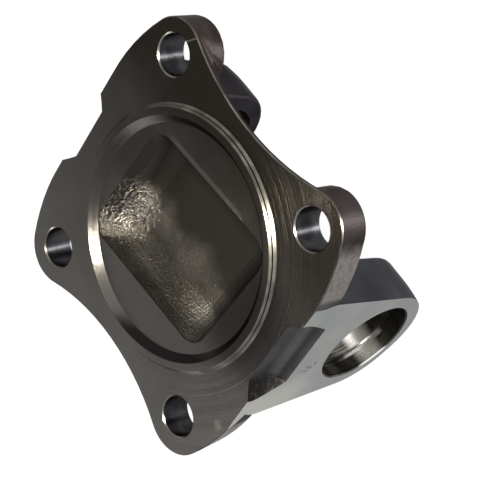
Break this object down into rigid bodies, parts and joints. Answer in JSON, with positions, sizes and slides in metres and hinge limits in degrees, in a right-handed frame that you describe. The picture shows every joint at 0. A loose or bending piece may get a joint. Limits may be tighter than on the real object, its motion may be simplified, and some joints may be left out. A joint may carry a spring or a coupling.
{
  "type": "driveshaft flange yoke",
  "caption": "Driveshaft flange yoke: a forged plate with lobed bolt holes and a raised pilot ring in front, and two ears behind it that hold the bearing caps of a joint cross.",
  "frame": {"origin": "centre of the mating face, where the shaft axis meets the bolting plane inside the pilot ring", "axes": "+Y along the shaft axis, from the mating face to the rear where the ears stand; +Z along the axis of the bearing bores, so the part rests on one machined ear face; +X across both"},
  "size_m": [0.0933, 0.0552, 0.0888],
  "materials": {
    "forged_steel": "forged steel with a machined mating face, pilot ring, ear faces and bores"
  },
  "bodies": {
    "root": {"flange_yoke": "forged_steel"}
  },
  "joints": []
}
